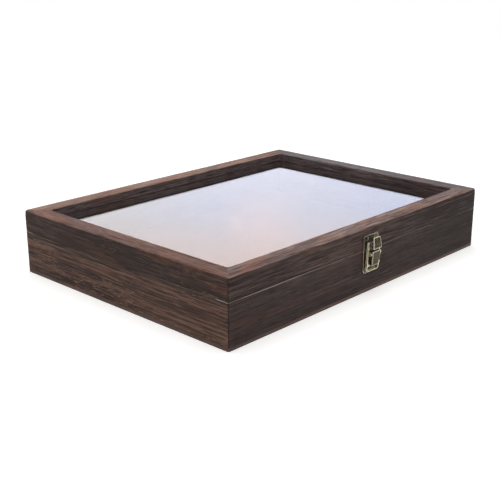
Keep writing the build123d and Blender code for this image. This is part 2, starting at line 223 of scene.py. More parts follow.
# Sizes of the case, read from the frame, with the edges that the joiner eased
case = {
    "halfX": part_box("bottom_panel")[1].x,
    "halfY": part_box("bottom_panel")[1].y,
    "wall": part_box("base_front")[1].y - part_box("base_front")[0].y,
    "corner": 2.0 * mm,
    "topCorner": 3.2 * mm,  # the outer corners are sanded rounder at the top
    "sandedHeight": 5.0 * mm,
    "innerCorner": 4.5 * mm,  # above the glass, growing over the last of the wall
    "innerBlend": 3.0 * mm,
    "topEdge": 1.6 * mm,
    "innerEdge": 0.8 * mm,
    "seamEdge": 0.45 * mm,
    "easedEdge": 0.25 * mm,
    "rebate": 6.0 * mm,
    "footZ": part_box("base_front")[0].z,
    "baseZ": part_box("base_front")[1].z,
    "lidZ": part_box("lid_front")[0].z,
    "glassZ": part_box("glass_pane")[1].z,
    "topZ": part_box("lid_front")[1].z,
}
seamZ = (case["baseZ"] + case["lidZ"]) / 2
sides = {
    "front": {"alongX": True, "place": lambda u, v: (u, -v)},
    "right": {"alongX": False, "place": lambda u, v: (v, u)},
    "back": {"alongX": True, "place": lambda u, v: (-u, v)},
    "left": {"alongX": False, "place": lambda u, v: (-v, -u)},
}


def halves(side):  # half of the side's length, and how far its outer face is from the middle
    pair = case["halfX"], case["halfY"]
    return pair if sides[side]["alongX"] else pair[::-1]


# Wood: scorched and brushed, so that the hard rings stand proud of the burnt soft ones
wood = {
    "ringTilt": radians(38),
    "ringWander": 3.6 * mm,
    "shares": {"broad": 0.25, "ring": 0.55, "fibre": 0.5, "hair": 0.3},  # of each in the tone
    "toneDrop": 0.3,
    "driftShare": 0.22,
    # painted light: the top is painted lighter, for the light from above and its sheen
    "paintedTopLift": 0.05,
    "toneStops": (0.38, 0.5, 0.64),
    # painted light: the inner walls' tones are lighter than the faces', to make up for the shade inside the
    # case
    "innerTones": ((72, 63, 66), (101, 88, 90), (130, 115, 115)),
    "roughness": (0.72, 0.54),  # of the soft rings and of the hard ones
    "roughStops": (0.35, 0.7),
    "ringBump": 0.5,
    "bumpStrength": 0.6,
    "bumpDepth": 0.2 * mm,
    "specular": 0.15,
    "endReach": (-0.1, 0.8),  # where a board darkens, in shares of its half length
    "grain": {  # cells per metre across the grain and along it, and octaves
        "wander": {"across": 16.0, "along": 3.4, "detail": 1.5},
        "broad": {"across": 95.0, "along": 1.6, "detail": 1.0, "roughness": 0.5},
        "ring": {"across": 680.0, "along": 11.0, "detail": 2.0, "roughness": 0.68},
        "fibre": {"across": 1500.0, "along": 1500.0 / 38.0, "detail": 2.0},
        "hair": {"across": 4200.0, "along": 4200.0 / 64.0, "detail": 1.0},
    },
    "marks": {  # cells per metre along the run, inwards and upwards, octaves, and where each starts
        "drift": {"cells": (9.0, 24.0, 24.0), "detail": 1.0, "perSeed": (0.0, 0.0, 1.0)},
        "streak": {"cells": (9.0, 130.0, 130.0), "detail": 4.0, "perSeed": (9.0, 0.0, 0.0)},
        "patch": {"cells": (22.0, 55.0, 20.0), "detail": 2.0, "perSeed": (-22.0, 0.0, 0.0)},
        "dash": {"cells": (170.0, 1250.0, 1250.0), "detail": 1.0},
        "cluster": {"cells": (18.0, 60.0, 60.0), "detail": 0.0},
        "pore": {"cells": (75.0, 1900.0, 1900.0), "detail": 0.0, "start": (40.0, 0.0, 0.0)},
        "edgeNoise": {"cells": (24.0, 5.0, 300.0), "detail": 2.0},
    },
    # colours, the noise levels between which they show, and what is left inside and on the lid
    "stains": {
        "warm": {"shade": (98, 62, 47), "shows": (0.5, 0.68), "inside": 0.3},
        "red": {"shade": (138, 102, 90), "shows": (0.52, 0.66)},
        "grey": {"shade": (114, 101, 101), "shows": (0.47, 0.36)},
        "inner": {"shade": (106, 80, 68), "shows": (0.52, 0.64)},
        "fleck": {"shade": (142, 110, 90), "shows": (0.59, 0.69), "amount": 0.75, "onLid": 0.35},
        "cluster": {"shows": (0.38, 0.58)},
        "pore": {"shade": (22, 17, 16), "shows": (0.42, 0.33), "amount": 0.65},
    },
    "edgeLines": {  # a pale line along the edge under the seam, a painted highlight along the edge at the foot, and the mitre's line
        "seamShade": (212, 198, 186),
        "seamShows": (0.3, 0.5),
        "seamLeast": 0.35,
        "startFade": (0.8, 1.3),  # in shares of the strong start's length
        "endFade": (14 * mm, 7 * mm),  # from the end
        "longFade": (120 * mm, 70 * mm),  # from the start
        # painted highlight along the bottom edge at the foot
        "paintedFootHighlightShade": (104, 66, 48),
        "paintedFootHighlightShows": (0.4, 0.6),
        "paintedFootHighlightAmount": 0.7,
        "mitreLine": (0.6 * mm, 0.3 * mm),
        "mitreShades": ((22, 17, 16), (146, 120, 108)),  # on the faces and on the top
        "mitreAmounts": (0.75, 0.15, 0.4),  # on the outer faces, the inner walls and the top
    },
    "zones": {  # heights, or insets from the outer face, between which each fades in
        "top": (case["topZ"] - 1.3 * mm, case["topZ"] - 0.3 * mm),
        "inner": (case["wall"] - 1.0 * mm, case["wall"] - 0.3 * mm),
        "outer": (1.2 * mm, 0.6 * mm),
        "lid": (seamZ - 9 * mm, seamZ + 5 * mm),
        "seamLow": (case["baseZ"] - 0.55 * mm, case["baseZ"] - 0.35 * mm),
        "seamHigh": (seamZ + 0.02 * mm, seamZ - 0.02 * mm),
        "paintedFootHighlight": (case["footZ"] + 0.9 * mm, case["footZ"] + 0.3 * mm),
    },
}
# each side's tones and top tones are partly painted light: darker or lighter for how the light falls on that
# side and on its top, over the wood's own tone and grain
woodSides = {
    "front": {
        "seed": 3.1,
        "flecks": 0.15,
        "warmth": 0.2,
        "contrast": (0.34, 1.3),  # of the grain on the case and on the lid
        "endContrast": 0.45,  # what is left of it at the end of the case's run
        "topContrast": 2.0,
        "lidShade": -0.06,  # how much darker the lid is than the case
        "endShade": 0.085,  # how much darker the end of the run is than its start
        "innerPaintedLift": 0.0,  # painted light: how much lighter the inner wall is painted
        "edgeLines": (0.6, 0.3, 0.4),  # of the pale line on the seam's edge at the start, along the middle and at the end
        "seamStart": 85 * mm,
        "seamFading": 0.0,
        "patches": 0.7,
        "innerPatches": 0.4,
        "tones": ((43, 34, 34), (65, 54, 52), (95, 77, 71)),
        "topTones": ((84, 65, 62), (122, 99, 94), (160, 135, 126)),
    },
    "right": {
        "seed": 17.9,
        "flecks": 0.6,
        "warmth": 0.35,
        "contrast": (1.0, 1.0),
        "endContrast": 1.0,
        "topContrast": 1.1,
        "lidShade": 0.02,
        "endShade": 0.0,
        "innerPaintedLift": -0.03,
        "edgeLines": (0.3, 0.2, 0.3),
        "seamStart": 15 * mm,
        "seamFading": 0.0,
        "patches": 0.2,
        "innerPatches": 0.1,
        "tones": ((48, 39, 37), (72, 58, 54), (98, 79, 70)),
        "topTones": ((90, 83, 86), (108, 101, 104), (126, 119, 122)),
    },
    "back": {
        "seed": 12.7,
        "flecks": 0.5,
        "warmth": 0.35,
        "contrast": (1.0, 1.0),
        "endContrast": 1.0,
        "topContrast": 1.25,
        "lidShade": 0.0,
        "endShade": 0.0,
        "innerPaintedLift": 0.08,
        "edgeLines": (0.3, 0.2, 0.3),
        "seamStart": 15 * mm,
        "seamFading": 0.0,
        "patches": 0.5,
        "innerPatches": 0.45,
        "tones": ((46, 38, 36), (68, 55, 51), (92, 74, 65)),
        "topTones": ((106, 82, 75), (134, 105, 95), (160, 130, 117)),
    },
    "left": {
        "seed": 8.4,
        "flecks": 0.9,
        "warmth": 0.4,
        "contrast": (1.05, 0.95),
        "endContrast": 1.0,
        "topContrast": 1.15,
        "lidShade": 0.13,
        "endShade": 0.0,
        "innerPaintedLift": 0.0,
        "edgeLines": (0.95, 0.05, 0.6),
        "seamStart": 12 * mm,
        "seamFading": 0.12,
        "patches": 0.7,
        "innerPatches": 0.4,
        "tones": ((50, 39, 36), (75, 57, 51), (112, 84, 71)),
        "topTones": ((80, 59, 55), (104, 78, 71), (130, 100, 90)),
    },
}


def grainField(w, run, deep, z, seed):
    # heights, 0 to 1, of a board's broad bands, rings, fibres and hairs; run goes along the grain
    run = run + seed

    def strands(name):
        size = wood["grain"][name]
        cells = w.join(run * size["along"], deep * size["across"], z * size["across"])
        return w.noise(cells, size["detail"])

    wander = (strands("wander") - 0.5) * wood["ringWander"]
    across = z * cos(wood["ringTilt"]) + deep * sin(wood["ringTilt"]) + wander + seed

    def layers(name):
        size = wood["grain"][name]
        cells = w.join(across * size["across"], run * size["along"], 0.0)
        return w.noise(cells, size["detail"], size["roughness"])

    return {
        "broad": layers("broad"),
        "ring": layers("ring"),
        "fibre": strands("fibre"),
        "hair": strands("hair"),
    }


def tones(shades):
    return [(stop, tint(shade)) for stop, shade in zip(wood["toneStops"], shades)]


def boardPlace(w, side):
    # where a point lies on its board, and how much it belongs to each of the board's faces
    x, y, z = w.parts(objectPlace(w))
    at = SimpleNamespace(z=z)
    at.run, at.deep = (x, y) if sides[side]["alongX"] else (y, x)
    at.halfRun, halfDeep = halves(side)
    zones = wood["zones"]
    at.inset = halfDeep - abs(at.deep)
    at.top = w.rise(z, *zones["top"])
    at.inner = w.rise(at.inset, *zones["inner"]) * (1 - at.top)
    at.outer = w.rise(at.inset, *zones["outer"])
    at.onLid = w.rise(z, *zones["lid"]) * (1 - at.top)
    ending = w.rise(at.run, 0.0, at.halfRun, 1.0, woodSides[side]["endContrast"])
    at.calm = ending.larger(at.onLid.larger(at.top))
    return at


def markNoise(w, at, name, seed):  # the noise behind one of the marks on a board
    mark = wood["marks"][name]
    nowhere = (0.0, 0.0, 0.0)
    start = Vector(mark.get("start", nowhere)) + Vector(mark.get("perSeed", nowhere)) * seed
    along, inwards, upwards = mark["cells"]
    cells = w.join(at.run * along, at.deep * inwards, at.z * upwards)
    return w.noise(w.vector("ADD", cells, start), mark["detail"])


# painted light in part: each side's own tones, the lighter top tones and the lighter inner tones stand in
# for how the light falls on each face
def tonesWithPaintedLight(w, look, at, level):
    low, high = [share * at.halfRun for share in wood["endReach"]]
    contrast = w.rise(at.onLid, 0.0, 1.0, *look["contrast"]) * at.calm
    shade = at.onLid * look["lidShade"] + w.rise(at.run, low, high, 0.0, look["endShade"])
    faceLevel = (level - 0.5) * contrast + 0.5 - shade
    topLevel = (level - 0.5) * look["topContrast"] + 0.5 + wood["paintedTopLift"]
    # painted light: the inner wall's lighter tones
    inside = w.ramp(faceLevel + look["innerPaintedLift"], tones(wood["innerTones"]))
    colour = w.mix(at.inner, w.ramp(faceLevel, tones(look["tones"])), inside)
    return w.mix(at.top, colour, w.ramp(topLevel, tones(look["topTones"])))


def stained(w, look, at, colour):
    # warm streaks on the faces, patches on the top and the inner wall, pale flecks and open pores
    stains = wood["stains"]

    def showing(noise, name):
        return w.rise(noise, *stains[name]["shows"])

    streak = showing(markNoise(w, at, "streak", look["seed"]), "warm")
    indoors = 1 - at.inner * (1 - stains["warm"]["inside"])
    warmth = streak * (1 - at.top) * indoors * at.calm * look["warmth"]
    patch = markNoise(w, at, "patch", look["seed"])
    dash = showing(markNoise(w, at, "dash", look["seed"]), "fleck")
    cluster = showing(markNoise(w, at, "cluster", look["seed"]), "cluster")
    sparse = 1 - at.onLid * (1 - stains["fleck"]["onLid"])
    masks = {
        "warm": warmth,
        "red": showing(patch, "red") * at.top * look["patches"],
        "grey": showing(patch, "grey") * at.top * look["patches"],
        "inner": showing(patch, "inner") * at.inner * look["innerPatches"],
        "fleck": dash * cluster * look["flecks"] * sparse * stains["fleck"]["amount"],
        "pore": showing(markNoise(w, at, "pore", look["seed"]), "pore") * at.calm * stains["pore"]["amount"],
    }
    for name, mask in masks.items():
        colour = w.paint(mask, colour, stains[name]["shade"])
    return colour


def seamLineAlong(w, look, at):
    # how strong the pale line along the edge under the seam is along the board's run
    edgeLines = wood["edgeLines"]
    atStart, along, atEnd = look["edgeLines"]
    low, high = [share * look["seamStart"] - at.halfRun for share in edgeLines["startFade"]]
    worn = w.rise(at.run, low, high, atStart, along)
    low, high = [at.halfRun - length for length in edgeLines["endFade"]]
    worn = worn + w.rise(at.run, low, high, 0.0, atEnd - along)
    low, high = [length - at.halfRun for length in edgeLines["longFade"]]
    return worn + w.rise(at.run, low, high, 0.0, look["seamFading"])


def edgeLinesAndPaintedHighlight(w, look, at, colour):
    edgeLines = wood["edgeLines"]
    zones = wood["zones"]
    edgeNoise = markNoise(w, at, "edgeNoise", look["seed"])
    seam =w.rise(at.z, *zones["seamLow"]) * w.rise(at.z, *zones["seamHigh"]) * at.outer
    # a pale line along the edge under the seam, patchy along the run
    shownShare = seam * w.rise(edgeNoise, *edgeLines["seamShows"], edgeLines["seamLeast"], 1.0) * seamLineAlong(w, look, at)
    colour = w.paint(shownShare, colour, edgeLines["seamShade"])
    # painted highlight: a warm light line along the bottom edge of the outer faces
    paintedFootHighlight = w.rise(at.z, *zones["paintedFootHighlight"]) * at.outer * w.rise(edgeNoise, *edgeLines["paintedFootHighlightShows"])
    colour = w.paint(paintedFootHighlight * edgeLines["paintedFootHighlightAmount"], colour, edgeLines["paintedFootHighlightShade"])
    # the mitre shows as a dark hair line, and on the top as a faint pale one
    fromMitre = abs(at.halfRun - abs(at.run) - at.inset)
    onFace, onInner, onTop = edgeLines["mitreAmounts"]
    amount = onFace - at.inner * (onFace - onInner) - at.top * (onFace - onTop)
    faceShade, topShade = [tint(shade) for shade in edgeLines["mitreShades"]]
    line = w.mix(at.top, faceShade, topShade)
    return w.mix(w.rise(fromMitre, *edgeLines["mitreLine"]) * amount, colour, line)


def woodMaterial(side):
    # one copy of the wood per side, each partly lit and shaded by painted light
    made, w = newMaterial("scorchedWood_" + side)
    look = woodSides[side]
    at = boardPlace(w, side)
    grain = grainField(w, at.run, at.deep, at.z, look["seed"])
    level = sum(grain[name] * share for name, share in wood["shares"].items()) - wood["toneDrop"]
    level = level + (markNoise(w, at, "drift", look["seed"]) - 0.5) * wood["driftShare"]
    colour = tonesWithPaintedLight(w, look, at, level)
    colour = stained(w, look, at, colour)
    colour = edgeLinesAndPaintedHighlight(w, look, at, colour)
    height = grain["fibre"] + grain["ring"] * wood["ringBump"]
    sockets = {
        "Base Color": colour,
        "Roughness": w.rise(level, *wood["roughStops"], *wood["roughness"]),
        "Normal": w.bump(height, wood["bumpStrength"], wood["bumpDepth"]),
        "Specular IOR Level": wood["specular"],
    }
    principled(w, sockets)
    return made


woods = {side: woodMaterial(side) for side in sides}
for side, material in woods.items():
    dress(material, "bead_" + side)
print("wood done")

# Boards: closed meshes along the mitred outline, with the grain brushed into them
board = {
    "acrossStep": 0.6 * mm,
    "alongStep": 4.0 * mm,
    "arcSteps": 4,
    "endLength": 1.5 * mm,
    "endSteps": 4,
    "relief": 0.14 * mm,
    "ringShare": 0.75,  # of the rings in the relief, with the fibres for the rest
    "reliefStops": (0.3, 0.62),
    "tolerance": 0.1 * mm,  # of a height against the glass
    "leastEnd": 0.02 * mm,
}


def roundedLoop(corners):
    # section through square corners (inset, height, radius), sampled along its straights and arcs
    points = []
    count = len(corners)
    for index in range(count):
        here = Vector(corners[index][:2])
        before = (Vector(corners[index - 1][:2]) - here).normalized()
        after = (Vector(corners[(index + 1) % count][:2]) - here).normalized()
        radius = corners[index][2]
        centre = here + (before + after) * radius
        for part in range(board["arcSteps"] + 1):
            turn = pi / 2 * part / board["arcSteps"]
            points.append(centre - after * radius * cos(turn) - before * radius * sin(turn))
        following = corners[(index + 1) % count]
        goal = Vector(following[:2]) - after * following[2]
        start = points[-1]
        steps = max(1, round((goal - start).length / board["acrossStep"]))
        points += [start.lerp(goal, step / steps) for step in range(1, steps)]
    return points


def pathPoint(side, inset, height, station):
    # station -1 to 1 runs along the straight, and one more goes round the corner to the mitre
    half, out = halves(side)
    straight = min(abs(station), 1)
    turn = abs(station) - straight
    angle = turn * pi / 4
    sanded = between(height, case["topZ"] - case["sandedHeight"], case["topZ"])
    corner = case["corner"] + sanded * (case["topCorner"] - case["corner"])
    past = inset - corner
    if past < 0:
        u = half - corner - past * sin(angle) - (1 - straight) * (half - corner)
        v = out - corner - past * cos(angle)
    else:
        ledge = height > case["glassZ"] - board["tolerance"]
        blend = between(inset, case["wall"] - case["innerBlend"], case["wall"])
        radius = case["innerCorner"] * blend * ledge
        end = max(min(past + board["leastEnd"], board["endLength"]), radius)
        u = (half - inset - end) * straight + (end - radius) * turn + radius * sin(angle)
        v = out - inset - radius * (1 - cos(angle))
    return sides[side]["place"](copysign(u, station), v)


def boardMesh(side, section):
    half = halves(side)[0]
    runs = round(2 * half / board["alongStep"])
    ends = [1 + (k + 1) / board["endSteps"] for k in range(board["endSteps"])]
    stations = [-s for s in reversed(ends)] + [2 * k / runs - 1 for k in range(runs + 1)] + ends
    verts = []
    for station in stations:
        verts += [(*pathPoint(side, inset, height, station), height) for inset, height in section]
    around = len(section)
    quads = []
    for row in range(len(stations) - 1):
        low, high = row * around, (row + 1) * around
        for k in range(around):
            after = (k + 1) % around
            quads.append((low + k, low + after, high + after, high + k))
    caps = [tuple(range(around)), tuple(range(len(verts) - around, len(verts)))]
    mesh = bpy.data.meshes.new(side)
    mesh.from_pydata(verts, [], quads + caps)
    shape = bmesh.new()
    shape.from_mesh(mesh)
    for face in shape.faces:
        face.smooth = len(face.verts) == 4
    bmesh.ops.recalc_face_normals(shape, faces=shape.faces)
    shape.to_mesh(mesh)
    shape.free()
    return mesh


def brushedGrainTree():
    # sinks the soft rings of a board a little below its face
    inputs = {"Depth": "Float", "Seed": "Float", "Crosswise": "Float", "Material": "Material"}
    tree, w, given = newTree("brushedGrain", inputs)
    x, y, z = w.parts(w.add("GeometryNodeInputPosition"))
    cross = given.output("Crosswise")
    grain = grainField(w, x + (y - x) * cross, y + (x - y) * cross, z, given.output("Seed"))
    ridges = grain["ring"] * board["ringShare"] + grain["fibre"] * (1 - board["ringShare"])
    height = w.rise(ridges, *board["reliefStops"])
    sink = w.stretch(w.add("GeometryNodeInputNormal"), (height - 1) * given.output("Depth"))
    moved = w.add("GeometryNodeSetPosition", {}, {"Geometry": given, "Offset": sink})
    closeTree(w, moved, given.output("Material"))
    return tree


brushedGrain = brushedGrainTree()
eased = case["easedEdge"]
wallIn = case["wall"]
ledgeIn = wallIn - case["rebate"]
sections = {
    "base": [
        (0, case["footZ"], eased),
        (0, case["baseZ"], case["seamEdge"]),
        (wallIn, case["baseZ"], eased),
        (wallIn, case["footZ"], eased),
    ],
    "lid": [
        (0, case["lidZ"], case["seamEdge"]),
        (0, case["topZ"], case["topEdge"]),
        (wallIn, case["topZ"], case["innerEdge"]),
        (wallIn, case["glassZ"], eased),
        (ledgeIn, case["glassZ"], eased),
        (ledgeIn, case["lidZ"], eased),
    ],
}
for part, body in (("base", "case_base"), ("lid", "lid")):
    section = roundedLoop(sections[part])
    for side in sides:
        piece = newPiece(f"{part}Board_{side}", boardMesh(side, section))
        values = {
            "Depth": board["relief"],
            "Seed": woodSides[side]["seed"],
            "Crosswise": 0.0 if sides[side]["alongX"] else 1.0,
            "Material": woods[side],
        }
        settle(piece, brushedGrain, values)
        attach(piece, body)
        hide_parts(f"{part}_{side}")
print("boards done")

# Bottom panel: thin stained board, its edge a little redder than the walls
panel = {
    "seed": 23.0,
    "broadShare": 0.55,
    "tones": ((48, 34, 31), (66, 46, 40), (88, 62, 50)),
    "roughness": (0.7, 0.55),
    "roughStops": (0.3, 0.7),
    "bumpStrength": 0.4,
    "bumpDepth": 0.15 * mm,
}


def panelMaterial():
    made, w = newMaterial("stainedPanel")
    x, y, z = w.parts(objectPlace(w))
    grain = grainField(w, x, y, z, panel["seed"])
    level = grain["broad"] * panel["broadShare"] + grain["fibre"] * (1 - panel["broadShare"])
    sockets = {
        "Base Color": w.ramp(level, tones(panel["tones"])),
        "Roughness": w.rise(level, *panel["roughStops"], *panel["roughness"]),
        "Normal": w.bump(grain["fibre"], panel["bumpStrength"], panel["bumpDepth"]),
    }
    principled(w, sockets)
    return made


dress(panelMaterial(), "bottom_panel")

# Glass: a clear pane with a trace of dust, which lets the lamps reach the foam
pane = {
    "colour": (0.985, 0.995, 0.99, 1.0),
    "bending": 1.5,
    "specks": 900.0,
    "speckShows": (0.66, 0.74),
    "clouds": 22.0,
    "octaves": 2.0,
    "dust": (0.8, 0.79, 0.77, 1.0),
    "dustAmount": 0.02,
    "shade": (0.82, 0.83, 0.825, 1.0),  # of the light that falls through
}


def glassMaterial():
    made, w = newMaterial("clearGlass")
    place = objectPlace(w)
    sockets = {
        "Base Color": pane["colour"],
        "Roughness": 0.0,
        "IOR": pane["bending"],
        "Transmission Weight": 1.0,
    }
    glass = w.add("ShaderNodeBsdfPrincipled", {}, sockets)
    specks = w.rise(w.noise(place, pane["octaves"], scale=pane["specks"]), *pane["speckShows"])
    cloud = w.noise(place, pane["octaves"], scale=pane["clouds"])
    dust = w.add("ShaderNodeBsdfDiffuse", {}, {"Color": pane["dust"]})
    dusty = w.add("ShaderNodeMixShader", {}, {"Fac": specks * cloud * pane["dustAmount"], 1: glass, 2: dust})
    clear = w.add("ShaderNodeBsdfTransparent", {}, {"Color": pane["shade"]})
    path = w.add("ShaderNodeLightPath", output="Is Shadow Ray")
    through = path.larger(path.output("Is Diffuse Ray"))
    surface(w, w.add("ShaderNodeMixShader", {}, {"Fac": through, 1: dusty, 2: clear}))
    return made


dress(glassMaterial(), "glass_pane")
print("glass done")

# Brass: antiqued, dark in the hollows, and bright at the rims, partly worn brass and partly a painted
# highlight
brass = {
    "finishes": {
        # bright: the rims' colour, partly worn brass and partly a painted highlight
        "plain": {"low": (56, 49, 36), "high": (86, 78, 60), "bright": (244, 236, 214)},
        "worn": {"low": (60, 51, 36), "high": (92, 80, 58), "bright": (252, 242, 214)},
        "dull": {"low": (52, 46, 35), "high": (74, 67, 52), "bright": (128, 118, 96)},
    },
    "dark": (24, 20, 14),
    "spot": (38, 32, 23),
    "spotShows": (0.5, 0.7),
    "spotAmount": 0.5,
    "speckles": 900.0,  # cells per metre
    "clouds": 260.0,
    "cloudShows": (0.35, 0.65),
    "rim": 1.3 * mm,
    "rimShows": (0.012, 0.04),
    "rimSpeckle": 0.02,
    "hollow": 1.6 * mm,
    "hollowShows": (0.4, 0.8),
    "samples": 8,
    "plateOut": (2.0 * mm, 1.2 * mm),  # out from the wood, between which the flat plates begin
    "plateDulling": (0.42, 0.62),  # of the rims' brightness and painted highlight, below the seam and well above it
    "plateHeight": 9 * mm,
    "plateFace": (38, 35, 30),
    "plateAmount": 0.75,
    "roughness": (0.46, 0.3),  # of the body and of the rims
    "roughCloud": 0.3,
    "bumpStrength": 0.25,
    "bumpDepth": 0.05 * mm,
    "loop": {  # its sides, worn lighter by fingers and hook and partly painted light, and its tip, a painted highlight
        "shade": (184, 160, 114),
        "facing": (0.5, 0.8),
        "cloudShows": (0.2, 0.5),
        "least": 0.6,
        "matt": 0.65,
        "paintedTipHighlight": (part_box("latch_loop")[1].z - 3 * mm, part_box("latch_loop")[1].z - 1 * mm),
    },
}


def plateShare(w, y, z):
    near, far = brass["plateOut"]
    flat = w.rise(abs(y), case["halfY"] + near, case["halfY"] + far)
    return flat * w.rise(z, seamZ, seamZ + brass["plateHeight"], *brass["plateDulling"])


def brassMaterial(finish):
    made, w = newMaterial("antiqueBrass_" + finish)
    look = brass["finishes"][finish]
    place = objectPlace(w)
    y, z = w.parts(place)[1:]
    normal = w.add("ShaderNodeNewGeometry", output="Normal")
    rounded = w.add("ShaderNodeBevel", {"samples": brass["samples"]}, {"Radius": brass["rim"]})
    plate = plateShare(w, y, z)
    bend = (1.0 - w.vector("DOT_PRODUCT", rounded, normal, "Value")) * (1 - plate)
    speckle = w.noise(place, detail=3.0, scale=brass["speckles"])
    cloud = w.noise(place, detail=2.0, scale=brass["clouds"])
    # the rims, where the bevelled normal turns away, get the bright colour: partly worn brass, partly a
    # painted highlight
    rim = w.rise(bend + (speckle - 0.5) * brass["rimSpeckle"], *brass["rimShows"])
    settings = {"samples": brass["samples"], "only_local": True}
    openness = w.add("ShaderNodeAmbientOcclusion", settings, {"Distance": brass["hollow"]}, "AO")
    shownShare = w.rise(openness, *brass["hollowShows"])
    body = w.mix(w.rise(cloud, *brass["cloudShows"]), tint(look["low"]), tint(look["high"]))
    body = w.paint(w.rise(speckle, *brass["spotShows"]) * brass["spotAmount"], body, brass["spot"])
    body = w.paint(plate * brass["plateAmount"], body, brass["plateFace"])
    metallic = 1.0
    if finish == "worn":
        loop = brass["loop"]
        # partly painted light: faces pointing sideways get a lighter, less metallic brass, worn there and
        # painted lighter for the light they catch
        facing = w.rise(abs(w.parts(normal)[0]), *loop["facing"])
        sideways = facing * w.rise(cloud, *loop["cloudShows"], loop["least"], 1.0)
        metallic = 1.0 - sideways * loop["matt"]
        body = w.paint(sideways, body, loop["shade"])
        # painted highlight on the loop's tip
        body = w.paint(w.rise(z, *loop["paintedTipHighlight"]), body, look["bright"])
    colour = w.mix(shownShare, tint(brass["dark"]), body)
    sockets = {
        "Base Color": w.paint(rim * shownShare, colour, look["bright"]),
        "Metallic": metallic,
        "Roughness": w.rise(rim + (cloud - 0.5) * brass["roughCloud"], 0.0, 1.0, *brass["roughness"]),
        "Normal": w.bump(speckle, brass["bumpStrength"], brass["bumpDepth"]),
    }
    principled(w, sockets)
    return made


screwFinish = brassMaterial("dull")
dress(brassMaterial("plain"), *[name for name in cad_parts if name.startswith(("hinge", "latch"))])
dress(brassMaterial("worn"), "latch_loop")
print("brass done")

# Screws: one slotted countersunk screw, turned on a lathe and set out in rows
screw = {
    "headRadius": 2.15 * mm,
    "crown": 0.2 * mm,
    # from the middle out to the rim and down, in shares of the head's radius and the crown
    "crownCurve": ((0.0, 0.0), (0.35, 0.15), (0.7, 0.5), (0.93, 0.8), (1.0, 1.25)),
    "shankRadius": 1.15 * mm,
    "length": 8.0 * mm,
    "pointStart": 0.9,  # in shares of the length
    "pointRadius": 0.3,  # in shares of the shank's
    "slotWidth": 0.6 * mm,
    "slotDepth": 0.55 * mm,
    "slotReach": 20.0 * mm,
    "chance": 1.2,  # most that a slot is turned either way, in radians
    "facets": 32,
}


def screwMesh():
    # points out along -y, with the top of its crown at the origin
    head, shank, crown = screw["headRadius"], screw["shankRadius"], screw["crown"]
    length = screw["length"]
    profile = [(head * out, crown * down) for out, down in screw["crownCurve"]]
    profile += [(shank, crown + head - shank), (shank, length * screw["pointStart"])]
    profile += [(shank * screw["pointRadius"], length), (0.0, length)]
    shape = bmesh.new()
    chain = [shape.verts.new((radius, depth, 0)) for radius, depth in profile]
    edges = [shape.edges.new(pair) for pair in zip(chain, chain[1:])]
    turned = {"angle": 2 * pi, "steps": screw["facets"], "axis": (0, 1, 0), "cent": (0, 0, 0)}
    bmesh.ops.spin(shape, geom=chain + edges, **turned)
    bmesh.ops.remove_doubles(shape, verts=shape.verts, dist=1e-6)
    bmesh.ops.recalc_face_normals(shape, faces=shape.faces)
    mesh = bpy.data.meshes.new("screw")
    shape.to_mesh(mesh)
    shape.free()
    return mesh


def screwRowTree():
    # cuts the slot, then sets the screw out in pairs, each turned by chance
    inputs = {
        "Pairs": "Int",
        "Pair size": "Int",
        "Pair spacing": "Float",
        "Screw spacing": "Float",
        "Middle": "Vector",
        "Turned round": "Float",
        "Slot width": "Float",
        "Slot depth": "Float",
        "Seed": "Int",
        "Material": "Material",
    }
    tree, w, given = newTree("screwRow", inputs)
    size = w.join(screw["slotReach"], given.output("Slot depth") * 2, given.output("Slot width"))
    cutter = w.add("GeometryNodeMeshCube", {}, {"Size": size})
    settings = {"operation": "DIFFERENCE", "solver": "EXACT"}
    cut = w.add("GeometryNodeMeshBoolean", settings, {"Mesh 1": given, "Mesh 2": cutter})

    def rowOf(count, spacing):
        first = w.join((count - 1) * spacing * -0.5, 0.0, 0.0)
        sockets = {"Count": count, "Start Location": first, "Offset": w.join(spacing, 0.0, 0.0)}
        return w.add("GeometryNodeMeshLine", {"mode": "OFFSET"}, sockets)

    pair = rowOf(given.output("Pair size"), given.output("Screw spacing"))
    pairs = rowOf(given.output("Pairs"), given.output("Pair spacing"))
    spread = w.add("GeometryNodeInstanceOnPoints", {}, {"Points": pairs, "Instance": pair})
    points = w.add("GeometryNodeRealizeInstances", {}, {"Geometry": spread})
    chance = {"Min_001": -screw["chance"], "Max_001": screw["chance"], "Seed": given.output("Seed")}
    angle = w.add("FunctionNodeRandomValue", {"data_type": "FLOAT"}, chance, "Value_001")
    rotation = w.join(0.0, angle, given.output("Turned round") * pi)
    sockets = {"Points": points, "Instance": cut, "Rotation": rotation}
    screws = w.add("GeometryNodeInstanceOnPoints", {}, sockets)
    sockets = {"Geometry": screws, "Translation": given.output("Middle")}
    closeTree(w, w.add("GeometryNodeTransform", {}, sockets), given.output("Material"))
    return tree


screwRow = screwRowTree()


def screwPiece(name, node, body, pairs, pairSpacing, seed):
    low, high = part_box(node)
    reach = high.x - low.x - 2 * screw["headRadius"]
    onBack = low.y > 0
    values = {
        "Pairs": pairs,
        "Pair size": 2,
        "Pair spacing": pairSpacing,
        "Screw spacing": reach - pairSpacing,
        "Middle": (0.0, high.y if onBack else low.y, (low.z + high.z) / 2),
        "Turned round": 1.0 if onBack else 0.0,
        "Slot width": screw["slotWidth"],
        "Slot depth": screw["slotDepth"],
        "Seed": seed,
        "Material": screwFinish,
    }
    piece = settle(newPiece(name, screwMesh()), screwRow, values)
    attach(piece, body)
    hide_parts(node)


